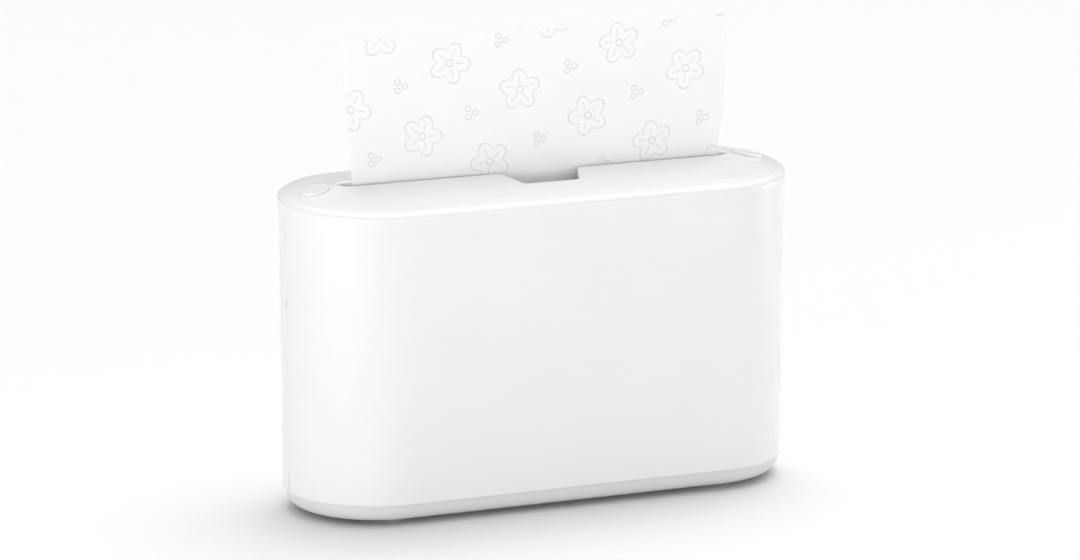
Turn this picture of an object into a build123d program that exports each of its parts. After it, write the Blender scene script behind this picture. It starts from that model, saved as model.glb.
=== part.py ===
from build123d import *
from math import atan, atan2, cos, degrees, hypot, pi, radians, sin, sqrt, tan
import os

# Countertop paper towel dispenser, in millimetres.
# X runs along its length, -Y is the front that faces the user, Z is up.
# The origin is the middle of the footprint, on the surface that the feet stand on.

# Folded towels, which everything else is sized round
towel_length = 238.0  # along X, the width of one towel
towel_depth = 84.0  # along Y, one folded panel
stack_height = 147.0
fold_count = 21  # rounded folds that show on the front and back of the stack
fold_bulge = 0.9  # how far one fold stands out past the next crease
sheet_height = 102.0  # the towel that stands out, from the top of the stack
sheet_side_gap = 0.4  # from each top corner to the round end of the slot
sheet_thickness = 0.6
sheet_gap = 1.4  # from the front of the slot back to that towel
sheet_dip = 1.0  # how far its top edge waves below its corners
sheet_foot_gap = 0.3

# Casing
end_space = 42.5  # from the end of the stack to the end of the lid
side_space = 16.0  # from the front of the stack to the front of the lid
foot_proud = 3.0
base_band_height = 10.2
base_inset = 3.4  # base band, inside the outline of the lid
base_round = 9.0
base_wall = 3.5
base_floor = 2.6
base_inside_chamfer = 4.0
seat_step = 0.5  # ledge that the shells stand on, inside the base band
shadow_gap = 0.6  # groove that shows between the base and the shells
upstand_height = 8.8
upstand_fit = 0.1
sleeve_inset_bottom = 2.0
sleeve_inset_top = 1.2
sleeve_wall = 2.8
seam_gap = 0.2  # hairline between the two shells
lap_width = 4.0
lap_fit = 0.1
snap_window_height = 5.0
snap_window_width = 1.6
snap_window_level = 112.5  # above the lower edge of the shells
pry_slot_height = 11.0
pry_slot_width = 0.9
guide_rib_thickness = 2.0
guide_rib_gap = 1.0  # from the platform to the ribs of the shells
guide_rib_place = 50.0
snap_tab_length = 12.0
snap_tab_height = 2.4
snap_tab_proud = 1.9
snap_tab_place = 60.0
snap_tab_level = 4.0  # above the lower edge of the shells
snap_tab_fit = 0.3

# Lid
lid_seam = 0.3
lid_rim_height = 7.8  # from its lower edge to where its side and top would meet, at the ends
lid_rim_tilt = 2.4  # degrees: the rim is lower in front than behind
lid_crown_height = 13.4
lid_wall = 2.6
lid_rim_run = 11.5  # how far in over the top the rim rolls over
lid_rim_drop = 4.4  # how far down the side it rolls over
lid_round_steps = 6  # narrow bands that make the roll
lid_inside_slope = 7.3  # degrees: slope of the roof inside
lid_inside_run = 4.0  # how far in the inside corner under the rim is cut back
lip_width = 2.5  # flat lip round the slot
lip_round = 2.0
slot_end_gap = 7.0  # from the end of the stack to the end of the slot
slot_half_width = 6.0
collar_wall = 2.2
collar_drop = 14.3  # from the lip down to the edge that holds the stack down
stack_gap = 1.2
notch_front_half = 17.7
notch_back_half = 25.4
notch_depth = 26.4  # from the middle of the slot to the front of the finger notch
notch_corner_round = 2.5
notch_edge_round = 1.0
locating_rim_fit = 0.3
locating_rim_wall = 2.0
locating_rim_drop = 4.8  # below the top of the shells
lid_rib_thickness = 1.5
lid_rib_clear = 2.0  # from the lid's lower edge up to its ribs
lid_rib_places = (40.0, 80.0)

# Buttons, with the keeper plates screwed on under them
button_radius = 9.1
button_fit = 0.2
button_proud = 1.0
button_edge_round = 0.6
button_travel = 3.0
button_guide_wall = 2.0
button_guide_rise = 3.5  # from the lid's lower edge up to the end of the button's guide
button_flange_width = 1.1
button_flange_thickness = 1.2
button_wall = 2.0
stem_half = 3.0
stem_gap = 0.6
stem_rest = 0.3  # from the end of the stem to the latch clip's ramp
keeper_thickness = 2.0
keeper_play = 0.1  # left under the flange at the end of its travel
keeper_half_length = 8.3
keeper_post_radius = 3.25
keeper_post_gap = 0.5
keeper_corner = 3.0
prong_thickness = 3.0
prong_inner = 4.5
prong_outer = 7.5
prong_foot_height = 2.5

# Latch clips of spring steel
clip_thickness = 0.6
clip_half_width = 6.5
clip_to_button = 5.6  # from the clip's upright face to the middle of the button
clip_gap = 1.4  # from the drum's flange to the clip
nose_reach = 4.9
nose_rise = 5.0
nose_run = 4.2
nose_level = 8.3  # below the top of the shells
nose_play = 0.3
clip_tail = 9.0  # below the middle of the drum
latch_bite = 2.3  # how far the nose reaches over the keeper's prongs
prong_gap = 0.5

# Guide frames
stack_side_gap = 2.5
guide_thickness = 2.2
guide_top_drop = 6.8  # below the top of the shells
guide_flange = 4.3
guide_flange_thickness = 2.0
guide_slot_fit = 0.5
guide_slot_play = 2.0
guide_foot_margin = 0.5  # its foot, past the screw bosses that stand on it
guide_foot_thickness = 2.5
ear_inner = 7.0
ear_thickness = 2.5
ear_rise = 8.0
ear_drop = 17.0
clip_wall_rise = 13.0
clip_wall_thickness = 2.5

# Spring drums, with strips of spring steel that pull the platform up
drum_drop = 24.8  # middle of the drum, below the top of the shells
hub_radius = 6.0
coil_radius = 8.25
flange_radius = 10.5
flange_thickness = 1.0
coil_half_width = 5.0
coil_side_gap = 0.2
tape_thickness = 0.4
tape_half_width = 4.0
tape_gap = 0.05
axle_radius = 2.0
axle_bore_fit = 0.08
axle_seat_fit = 0.05
axle_head_radius = 3.2
axle_head_thickness = 1.0

# Platform under the stack
platform_end_gap = 0.5  # its end stops short of the end of the stack
platform_side_proud = 1.5
platform_deck = 2.5
platform_skirt = 22.0
platform_wall = 2.0
platform_corner = 4.0
platform_rib_height = 13.5
platform_rib_thickness = 1.8
platform_rib_places = (0.0, 45.0, 90.0)
platform_long_rib = 20.0
platform_stop_gap = 0.3
platform_stop_radius = 4.0
platform_stop_place = 70.0
lug_half_width = 4.4
lug_height = 10.0
lug_proud = 2.9
platform_clear = 8.4  # from the floor of the base up to the platform at rest
last_towels = 15.0  # what is left of the stack at the end of the platform's travel

# Fasteners and feet
screw_radius = 1.5
screw_head_radius = 3.1
screw_head_height = 1.9
screw_length = 12.2
screw_clearance = 0.2
screw_bite_gap = 0.05
boss_radius = 4.0
pad_rise = 2.2
pad_radius = 5.5
shell_boss_rise = 42.0
shell_boss_rib_start = 20.0
boss_plate_gap = 1.8  # from a guide frame's plate to the screw boss beside it
boss_flange_gap = 4.0
foot_radius = 7.0
foot_recess = 1.0
foot_place = (105.0, 34.0)
keeper_screw_radius = 1.25
keeper_screw_head_radius = 2.4
keeper_screw_head_height = 1.5
keeper_screw_length = 7.0
rivet_radius = 1.2
rivet_head_radius = 2.5
rivet_head_height = 1.0
rivet_fit = 0.05
rivet_grip = 5.0

# Places worked out from the sizes above
case_half_length = towel_length / 2 + end_space
case_radius = towel_depth / 2 + side_space
round_end_x = case_half_length - case_radius
base_floor_z = foot_proud + base_floor
shoulder_z = foot_proud + base_band_height
pad_z = base_floor_z + pad_rise
platform_z0 = base_floor_z + platform_clear
deck_z = platform_z0 + platform_skirt
stack_top = deck_z + stack_height
platform_travel = stack_height - last_towels
collar_z = stack_top + stack_gap
lip_z = collar_z + collar_drop
lid_z0 = lip_z - lid_crown_height
rim_z = lid_z0 + lid_rim_height
sleeve_z0 = shoulder_z + shadow_gap
sleeve_z1 = lid_z0 - lid_seam
locating_rim_z = sleeve_z1 - locating_rim_drop
platform_half_length = towel_length / 2 - platform_end_gap
platform_half_depth = towel_depth / 2 + platform_side_proud
slot_half_length = towel_length / 2 + slot_end_gap
guide_x0 = towel_length / 2 + stack_side_gap
guide_x1 = guide_x0 + guide_thickness
lug_x = guide_x1 + lug_proud
tape_x = lug_x + tape_thickness
drum_x = tape_x + tape_gap + coil_radius
drum_z = sleeve_z1 - drum_drop
clip_x = drum_x + flange_radius + clip_gap
button_x = clip_x - clip_to_button
nose_z = sleeve_z1 - nose_level
rivet_z = platform_z0 + lug_height / 2
button_flange_top = lid_z0 + button_guide_rise
button_flange_z = button_flange_top - button_flange_thickness
keeper_z = button_flange_z - button_travel - keeper_play
ramp_slope = nose_rise / nose_run
ramp_x = clip_x + clip_thickness / 2 - nose_reach  # where the clip's ramp starts
ramp_lift = clip_thickness / 2 * hypot(nose_rise, nose_run) / nose_run
stem_z = nose_z + (button_x + stem_half - ramp_x) * ramp_slope + ramp_lift + stem_rest
keeper_post_y = (
    button_radius + button_fit + button_guide_wall + keeper_post_gap + keeper_post_radius
)
boss_x = guide_x1 + boss_plate_gap + boss_radius
boss_y = towel_depth / 2 - guide_flange_thickness - boss_flange_gap - boss_radius
bosses = [(sx * boss_x, sy * boss_y) for sx in (-1, 1) for sy in (-1, 1)]
roof_run = case_half_length - slot_half_length - lip_width  # from the end of the rim to the lip
OPEN = 1.0  # how far a cutting tool runs past the face that it opens


def outline(inset=0.0):
    """The casing's plan: two half circles joined by straight sides."""
    return SlotOverall(2 * (case_half_length - inset), 2 * (case_radius - inset))


def block(x0, x1, y0, y1, z0, z1):
    return Pos((x0 + x1) / 2, (y0 + y1) / 2, (z0 + z1) / 2) * Box(x1 - x0, y1 - y0, z1 - z0)


def post(x, y, z0, z1, radius):
    return Pos(x, y, (z0 + z1) / 2) * Cylinder(radius, z1 - z0)


def pin_along_y(x, z, y0, y1, radius):
    return Pos(x, (y0 + y1) / 2, z) * Rot(90, 0, 0) * Cylinder(radius, y1 - y0)


def pin_along_x(z, x0, x1, radius):
    return Pos((x0 + x1) / 2, 0, z) * Rot(0, 90, 0) * Cylinder(radius, x1 - x0)


def both_ends(shape):
    """The right-hand piece and its mirror image at the left end, as (left, right)."""
    return mirror(shape, Plane.YZ), shape


def base_tray():
    """Shallow pan with a rounded lower edge and an upstand that the shells fit round."""
    band = extrude(Pos(0, 0, foot_proud) * outline(base_inset), base_band_height)
    band = fillet(band.edges().group_by(Axis.Z)[0], base_round)
    upstand_inset = sleeve_inset_bottom + sleeve_wall + upstand_fit
    band += extrude(Pos(0, 0, shoulder_z) * outline(base_inset + seat_step), shadow_gap)
    band += extrude(Pos(0, 0, shoulder_z) * outline(upstand_inset), upstand_height)
    inside = extrude(Pos(0, 0, base_floor_z) * outline(base_inset + base_wall), lid_z0)
    inside = chamfer(inside.edges().group_by(Axis.Z)[0], base_inside_chamfer)
    tray = band - inside
    for x, y in bosses:
        tray += post(x, y, base_floor_z - OPEN, pad_z, pad_radius)
        tray -= post(x, y, 0, pad_z + OPEN, screw_radius + screw_clearance)
        tray -= post(x, y, 0, base_floor_z, screw_head_radius + screw_clearance)
    stop_z = platform_z0 - platform_stop_gap
    stop_y = platform_half_depth - platform_wall / 2
    for sx in (-1, 1):
        for sy in (-1, 1):
            tray += post(
                sx * platform_stop_place, sy * stop_y, base_floor_z - OPEN, stop_z,
                platform_stop_radius,
            )
            tray -= post(
                sx * foot_place[0], sy * foot_place[1], 0, foot_proud + foot_recess, foot_radius
            )
            tray -= snap_tab(sy, sx * snap_tab_place, snap_tab_fit)
    return tray


def rubber_feet():
    return [
        post(sx * foot_place[0], sy * foot_place[1], 0, foot_proud + foot_recess, foot_radius)
        for sx in (-1, 1)
        for sy in (-1, 1)
    ]


def sleeve(inset0, inset1):
    """A ring of the casing's wall between two depths, drawn in a little towards its foot."""

    def drawn_in(inset):
        return loft(
            [
                Pos(0, 0, sleeve_z0) * outline(sleeve_inset_bottom + inset),
                Pos(0, 0, sleeve_z1) * outline(sleeve_inset_top + inset),
            ],
            ruled=True,
        )

    return drawn_in(inset0) - drawn_in(inset1)


def snap_tab(side, x, grow=0.0):
    """A tab on the inside of a shell, or with grow the window in the upstand that takes it."""
    root = case_radius - sleeve_inset_bottom - sleeve_wall
    z = sleeve_z0 + snap_tab_level
    ys = sorted((side * (root + sleeve_wall / 2), side * (root - snap_tab_proud - grow)))
    return block(
        x - snap_tab_length / 2 - grow, x + snap_tab_length / 2 + grow, *ys,
        z - grow, z + snap_tab_height + grow,
    )


def shell(side):
    """The front shell (side -1) or the rear one (side 1), lapped over each other at the ends."""
    reach = 2 * case_half_length
    half = block(
        -reach, reach, *sorted((side * seam_gap / 2, side * reach)), 0, lid_z0
    )
    wall = sleeve(0, sleeve_wall) & half
    inner = sleeve(sleeve_wall / 2, sleeve_wall)
    if side < 0:
        lap = block(-reach, reach, -lap_width, 0, 0, lid_z0)
        wall -= inner & lap
    else:
        inner = sleeve(sleeve_wall / 2 + lap_fit, sleeve_wall)
        lap = block(-reach, reach, -lap_width + lap_fit, seam_gap, 0, lid_z0)
        wall += inner & lap
    outer = sleeve(-OPEN, sleeve_wall / 2)
    window_z = sleeve_z0 + snap_window_level
    window = block(
        -reach, reach, -snap_window_width / 2, snap_window_width / 2,
        window_z, window_z + snap_window_height,
    )
    pry = block(
        -reach, reach, -pry_slot_width / 2, pry_slot_width / 2, 0, sleeve_z0 + pry_slot_height
    )
    wall -= outer & (window + pry)
    wall_y = case_radius - sleeve_inset_bottom - sleeve_wall
    rib_y = platform_half_depth + guide_rib_gap
    rib_top = locating_rim_z - locating_rim_wall
    for sx in (-1, 1):
        x = sx * guide_rib_place
        rib = block(
            x - guide_rib_thickness / 2, x + guide_rib_thickness / 2,
            *sorted((side * rib_y, side * (wall_y + sleeve_wall / 2))),
            shoulder_z + upstand_height + OPEN, rib_top,
        )
        wall += rib
        wall += snap_tab(side, sx * snap_tab_place)
    boss_z = pad_z + guide_foot_thickness
    out = hypot(boss_x - round_end_x, boss_y)
    reach_out = case_radius - sleeve_inset_bottom - sleeve_wall / 2
    middle_z = pad_z + (shell_boss_rise + shell_boss_rib_start) / 2
    rib = Pos((out + reach_out) / 2, 0, middle_z) * Box(
        reach_out - out, guide_rib_thickness, shell_boss_rise - shell_boss_rib_start
    )
    for x, y in bosses:
        if y * side < 0:
            continue
        end_x = round_end_x if x > 0 else -round_end_x
        wall += Pos(end_x, 0, 0) * Rot(0, 0, degrees(atan2(y, x - end_x))) * rib
        wall += post(x, y, boss_z, pad_z + shell_boss_rise, boss_radius)
        wall -= post(
            x, y, boss_z - OPEN, base_floor_z + screw_length + OPEN, screw_radius + screw_bite_gap
        )
    return wall


def base_screws():
    """Pan-head screws, driven up through the base and the guide frames into the shells."""
    return [
        post(x, y, base_floor_z - screw_head_height, base_floor_z, screw_head_radius)
        + post(x, y, base_floor_z, base_floor_z + screw_length, screw_radius)
        for x, y in bosses
    ]


def guide_frame():
    """Upright beside the stack: a slotted plate, a foot, and ears for the drum and the clip."""
    half_depth = towel_depth / 2
    top = sleeve_z1 - guide_top_drop
    frame = block(guide_x0, guide_x1, -half_depth, half_depth, pad_z, top)
    slot_half = lug_half_width + guide_slot_fit
    slot_top = rivet_z + platform_travel + lug_height / 2 + guide_slot_play
    frame -= block(
        guide_x0 - OPEN, guide_x1 + OPEN, -slot_half, slot_half,
        platform_z0 - guide_slot_play, slot_top,
    )
    for side in (-1, 1):
        ys = sorted((side * (half_depth - guide_flange_thickness), side * half_depth))
        frame += block(guide_x1 - OPEN, guide_x1 + guide_flange, *ys, pad_z, top)
    foot_y = boss_y + boss_radius + guide_foot_margin
    frame += block(
        guide_x0, boss_x + boss_radius + guide_foot_margin, -foot_y, foot_y,
        pad_z, pad_z + guide_foot_thickness,
    )
    for side in (-1, 1):
        frame -= post(
            boss_x, side * boss_y, pad_z - OPEN, pad_z + guide_foot_thickness + OPEN,
            screw_radius + screw_clearance,
        )
    wall_x = clip_x + clip_thickness
    for side in (-1, 1):
        ys = sorted((side * ear_inner, side * (ear_inner + ear_thickness)))
        frame += block(
            guide_x1 - OPEN, wall_x + clip_wall_thickness, *ys, drum_z - ear_drop, drum_z + ear_rise
        )
    frame += block(
        wall_x, wall_x + clip_wall_thickness, -ear_inner - OPEN, ear_inner + OPEN,
        drum_z - ear_drop, drum_z - ear_drop + clip_wall_rise,
    )
    ear_end = ear_inner + ear_thickness + OPEN
    frame -= pin_along_y(drum_x, drum_z, -ear_end, ear_end, axle_radius + axle_seat_fit)
    rivet_at = drum_z - clip_tail - clip_thickness
    frame -= pin_along_x(
        rivet_at, wall_x - OPEN, wall_x + clip_wall_thickness + OPEN, rivet_radius + rivet_fit
    )
    return frame


def drum_axle():
    end = ear_inner + ear_thickness
    axle = pin_along_y(drum_x, drum_z, -end, end + axle_head_thickness, axle_radius)
    axle += pin_along_y(drum_x, drum_z, -end - axle_head_thickness, -end, axle_head_radius)
    return axle


def spring_drum():
    """Hub with two flanges, turning on the axle."""
    end = coil_half_width + flange_thickness
    drum = pin_along_y(drum_x, drum_z, -end, end, hub_radius)
    for side in (-1, 1):
        drum += pin_along_y(
            drum_x, drum_z, *sorted((side * coil_half_width, side * end)), flange_radius
        )
    return drum - pin_along_y(
        drum_x, drum_z, -end - OPEN, end + OPEN, axle_radius + axle_bore_fit
    )


def spring_coil():
    """The turns of the strip that are still wound on the hub."""
    half = coil_half_width - coil_side_gap
    return pin_along_y(drum_x, drum_z, -half, half, coil_radius) - pin_along_y(
        drum_x, drum_z, -half - OPEN, half + OPEN, hub_radius
    )


def spring_tape():
    """The straight part of the strip, from the drum down to the platform's lug."""
    tape = block(lug_x, tape_x, -tape_half_width, tape_half_width, platform_z0, drum_z)
    return tape - pin_along_x(rivet_z, lug_x - OPEN, tape_x + OPEN, rivet_radius + rivet_fit)


def tape_rivet():
    rivet = pin_along_x(rivet_z, tape_x, tape_x + rivet_head_height, rivet_head_radius)
    return rivet + pin_along_x(rivet_z, lug_x - rivet_grip, tape_x, rivet_radius)


def latch_clip():
    """Sprung strip whose nose holds the lid's keeper down and whose ramp the button pushes."""
    middle_x = clip_x + clip_thickness / 2
    line = Polyline(
        (middle_x, drum_z - ear_drop),
        (middle_x, nose_z),
        (middle_x - nose_reach, nose_z),
        (middle_x - nose_reach + nose_run, nose_z + nose_rise),
    )
    strip = Plane.XZ * trace(line, clip_thickness)
    clip = extrude(strip, clip_half_width, both=True)
    rivet_at = drum_z - clip_tail - clip_thickness
    return clip - pin_along_x(
        rivet_at, clip_x - OPEN, clip_x + clip_thickness + OPEN, rivet_radius + rivet_fit
    )


def latch_rivet():
    rivet_at = drum_z - clip_tail - clip_thickness
    far = clip_x + clip_thickness + clip_wall_thickness
    rivet = pin_along_x(rivet_at, clip_x, far, rivet_radius)
    for x0, x1 in ((clip_x - rivet_head_height, clip_x), (far, far + rivet_head_height)):
        rivet += pin_along_x(rivet_at, x0, x1, rivet_head_radius)
    return rivet


def rim_plane(rise=0.0):
    """The tilted plane that the edge of the lid's sloping top lies in, or one above it."""
    tilt = radians(lid_rim_tilt)
    return Plane(origin=(0, 0, rim_z + rise), x_dir=(1, 0, 0), z_dir=(0, -sin(tilt), cos(tilt)))


def lid_form():
    """Upright rim that rolls over into a top that rises to the lip round the slot."""
    slope = (lip_z - rim_z) / (case_radius - slot_half_width - lip_width)
    sections = [Pos(0, 0, lid_z0) * outline()]
    for n in range(lid_round_steps + 1):
        turn = pi / 2 - (pi / 2 - atan(slope)) * n / lid_round_steps
        down = lid_rim_drop * cos(turn)
        share = down / (lid_rim_run * (sin(turn) - slope * cos(turn)) + down)
        rise = lid_rim_run * slope * share**2 - lid_rim_drop * (1 - share) ** 2
        sections.append(rim_plane(rise) * outline(lid_rim_run * share**2))
    sections.append(Pos(0, 0, lip_z) * slot_mouth(lip_width))
    return loft(sections, ruled=True)


def lid_hollow():
    """Space inside the cover, under a roof with one slope all round."""
    inset = lid_wall + lid_inside_run
    low = Pos(0, 0, locating_rim_z) * outline(lid_wall)
    side = rim_plane(-lid_rim_drop) * outline(lid_wall)
    edge = rim_plane(-lid_wall) * outline(inset)
    run = case_radius - inset - slot_half_width - lip_width
    rise = run * tan(radians(lid_inside_slope))
    return loft([low, side, edge], ruled=True) + extrude(edge, rise, taper=90 - lid_inside_slope)


def slot_mouth(grow=0.0):
    return SlotOverall(2 * (slot_half_length + grow), 2 * (slot_half_width + grow))


def finger_notch(grow=0.0):
    """Trapezoid that opens the front of the slot, so that fingers reach the towel."""
    notch = make_face(
        Polyline(
            (-notch_front_half, -notch_depth),
            (notch_front_half, -notch_depth),
            (notch_back_half, -slot_half_width),
            (notch_back_half, 0),
            (-notch_back_half, 0),
            (-notch_back_half, -slot_half_width),
            (-notch_front_half, -notch_depth),
        )
    )
    front = notch.vertices().group_by(Axis.Y)[0]
    notch = fillet(front, notch_corner_round)
    return offset(notch, grow) if grow else notch


def lid_skirts(inner_inset):
    """What hangs from the lid's top: collar, locating rim, ribs, button guides and keeper posts."""
    tall = 2 * lid_crown_height
    plan = slot_mouth(collar_wall) + finger_notch(collar_wall)
    collar = extrude(Pos(0, 0, collar_z) * plan, tall)
    rim_inset = sleeve_inset_top + sleeve_wall + locating_rim_fit
    ring = outline(rim_inset) - outline(inner_inset)
    skirts = collar + extrude(Pos(0, 0, locating_rim_z) * ring, tall)
    rib_y = case_radius - inner_inset + locating_rim_wall / 2
    for place in lid_rib_places:
        for x in (-place, place):
            for side in (-1, 1):
                skirts += block(
                    x - lid_rib_thickness / 2, x + lid_rib_thickness / 2,
                    *sorted((side * slot_half_width, side * rib_y)),
                    lid_z0 + lid_rib_clear, lip_z,
                )
    guide_radius = button_radius + button_fit + button_guide_wall
    for sx in (-1, 1):
        skirts += post(sx * button_x, 0, button_flange_top, lip_z, guide_radius)
        for sy in (-1, 1):
            skirts += post(
                sx * button_x, sy * keeper_post_y, keeper_z, lip_z, keeper_post_radius
            )
    return skirts


def inside_lip(edge):
    """Whether an edge of the lip's flat is one that borders the slot."""
    box = edge.bounding_box()
    return (
        max(-box.min.X, box.max.X) < slot_half_length + lip_width / 2
        and max(-box.min.Y, box.max.Y) < slot_half_width + lip_width / 2
    )


def on_notch_edge(edge):
    """Whether an edge borders the finger notch where it cuts the lid's sloping top."""
    box = edge.bounding_box()
    lip_front = -slot_half_width - lip_width
    return (
        box.max.Y < lip_front + 0.001
        and box.min.Y > -notch_depth - 0.001
        and max(-box.min.X, box.max.X) < notch_back_half
        and box.min.Z > lid_z0 + lid_rim_height
    )


def lid():
    """Moulded cover: sloping top, slot with its collar, finger notch and button guides."""
    tall = 2 * lid_crown_height
    low = Pos(0, 0, collar_z - OPEN)
    cover = lid_form() - extrude(low * slot_mouth(), tall)
    cover = fillet(cover.edges().group_by(Axis.Z)[-1].filter_by(inside_lip), lip_round)
    cover -= extrude(low * finger_notch(), tall)
    cover = fillet(cover.edges().filter_by(on_notch_edge), notch_edge_round)
    below = extrude(Pos(0, 0, locating_rim_z) * outline(lid_wall), lid_z0 + OPEN - locating_rim_z)
    inner_inset = sleeve_inset_top + sleeve_wall + locating_rim_fit + locating_rim_wall
    mouth = extrude(low * (slot_mouth() + finger_notch()), tall)
    cover = cover - lid_hollow() + (lid_skirts(inner_inset) & (cover + below) - mouth)
    for sx in (-1, 1):
        cover -= post(sx * button_x, 0, collar_z, lip_z + OPEN, button_radius + button_fit)
        for sy in (-1, 1):
            cover -= post(
                sx * button_x, sy * keeper_post_y, keeper_z - OPEN,
                keeper_z - keeper_thickness + keeper_screw_length + OPEN,
                keeper_screw_radius + screw_bite_gap,
            )
    return cover


def button_top():
    """The plane that the button's top lies in, parallel to the lid's slope round it."""
    share = (case_half_length - button_x) / roof_run
    rise = lip_z - rim_z
    lean = tan(radians(lid_rim_tilt)) * (1 - share)
    return Plane(
        origin=(button_x, 0, rim_z + share * rise + button_proud), z_dir=(rise / roof_run, -lean, 1)
    )


def button():
    """Round cap that follows the lid's slope, a flange that keeps it in, and its stem."""
    cap = post(button_x, 0, button_flange_z, lip_z + button_proud, button_radius)
    cap = split(cap, button_top(), keep=Keep.BOTTOM)
    cap = chamfer(cap.edges().group_by(Axis.Z)[-1], button_edge_round)
    cap += post(
        button_x, 0, button_flange_z, button_flange_top, button_radius + button_flange_width
    )
    roof_z = rim_z + button_proud
    cap -= post(button_x, 0, button_flange_z - OPEN, roof_z, button_radius - button_wall)
    return cap + block(
        button_x - stem_half, button_x + stem_half, -stem_half, stem_half, stem_z, roof_z + OPEN
    )


def latch_keeper():
    """Plate screwed on under the button, with two hooked prongs that the clip's nose holds."""
    half_y = keeper_post_y + keeper_post_radius
    plan = RectangleRounded(2 * keeper_half_length, 2 * half_y, keeper_corner)
    keeper = extrude(Pos(button_x, 0, keeper_z - keeper_thickness) * plan, keeper_thickness)
    opening = stem_half + stem_gap
    keeper -= block(
        button_x - opening, button_x + opening, -opening, opening,
        keeper_z - keeper_thickness - OPEN, keeper_z + OPEN,
    )
    nose_tip = clip_x - nose_reach
    prong_x = nose_tip - prong_gap
    ledge_z = nose_z - clip_thickness / 2 - nose_play
    for side in (-1, 1):
        ys = sorted((side * prong_inner, side * prong_outer))
        keeper += block(
            prong_x - prong_thickness, prong_x, *ys, ledge_z - prong_foot_height, keeper_z - OPEN
        )
        keeper += block(
            prong_x - OPEN, nose_tip + latch_bite, *ys, ledge_z - prong_foot_height, ledge_z
        )
        keeper -= post(
            button_x, side * keeper_post_y, keeper_z - keeper_thickness - OPEN, keeper_z + OPEN,
            keeper_screw_radius + screw_clearance,
        )
    return keeper


def keeper_screws():
    seat = keeper_z - keeper_thickness
    return [
        post(
            sx * button_x, sy * keeper_post_y, seat - keeper_screw_head_height, seat,
            keeper_screw_head_radius,
        )
        + post(
            sx * button_x, sy * keeper_post_y, seat, seat + keeper_screw_length,
            keeper_screw_radius,
        )
        for sx in (-1, 1)
        for sy in (-1, 1)
    ]


def platform():
    """Tray under the stack: deck, skirt, ribs, and a lug at each end that the strips pull."""
    length, depth = 2 * platform_half_length, 2 * platform_half_depth
    under_deck = platform_skirt - platform_deck
    tray = extrude(
        Pos(0, 0, platform_z0) * RectangleRounded(length, depth, platform_corner), platform_skirt
    )
    inner = RectangleRounded(
        length - 2 * platform_wall, depth - 2 * platform_wall, platform_corner - platform_wall
    )
    tray -= extrude(Pos(0, 0, platform_z0 - OPEN) * inner, under_deck + OPEN)
    rib_z1 = platform_z0 + under_deck + platform_deck / 2
    rib_z0 = platform_z0 + under_deck - platform_rib_height
    end_x = platform_half_length - platform_wall / 2
    end_y = platform_half_depth - platform_wall / 2
    half = platform_rib_thickness / 2
    for x in sorted({s * place for s in (-1, 1) for place in platform_rib_places}):
        tray += block(x - half, x + half, -end_y, end_y, rib_z0, rib_z1)
    for y in (-platform_long_rib, platform_long_rib):
        tray += block(-end_x, end_x, y - half, y + half, rib_z0, rib_z1)
    for side in (-1, 1):
        tray += block(
            *sorted((side * end_x, side * lug_x)), -lug_half_width, lug_half_width,
            platform_z0, platform_z0 + lug_height,
        )
        tray -= pin_along_x(
            rivet_z, *sorted((side * (lug_x - rivet_grip - OPEN), side * (lug_x + OPEN))),
            rivet_radius + rivet_fit,
        )
    return tray


def towel_stack():
    """Interfolded towels: each bundle's rounded fold stands out between two creases."""
    crease = towel_depth / 2 - fold_bulge
    step = stack_height / fold_count
    levels = [deck_z + n * step for n in range(fold_count + 1)]
    folds = []
    for side, order in ((1, levels), (-1, levels[::-1])):
        for z0, z1 in zip(order, order[1:]):
            folds.append(
                ThreePointArc(
                    (side * crease, z0),
                    (side * (crease + fold_bulge), (z0 + z1) / 2),
                    (side * crease, z1),
                )
            )
    folds.append(Line((crease, levels[-1]), (-crease, levels[-1])))
    folds.append(Line((-crease, levels[0]), (crease, levels[0])))
    return extrude(Plane.YZ * make_face(folds), towel_length / 2, both=True)


def leading_towel():
    """The towel that stands out of the slot, leaning out at its corners."""
    forward = slot_half_width - sheet_gap
    slot_end = slot_half_length - slot_half_width + sqrt(slot_half_width**2 - forward**2)
    foot, head = towel_length / 2, slot_end - sheet_side_gap
    low, high = stack_top + sheet_foot_gap, stack_top + sheet_height
    edge = Spline(
        (-head, high),
        (-head / 2, high - sheet_dip / 2),
        (0, high - sheet_dip),
        (head / 2, high - sheet_dip / 2),
        (head, high),
    )
    sides = Polyline((head, high), (foot, low), (-foot, low), (-head, high))
    panel = extrude(Plane.XZ * make_face([edge, sides]), sheet_thickness)
    return Pos(0, sheet_gap + sheet_thickness - slot_half_width, 0) * panel


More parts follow.
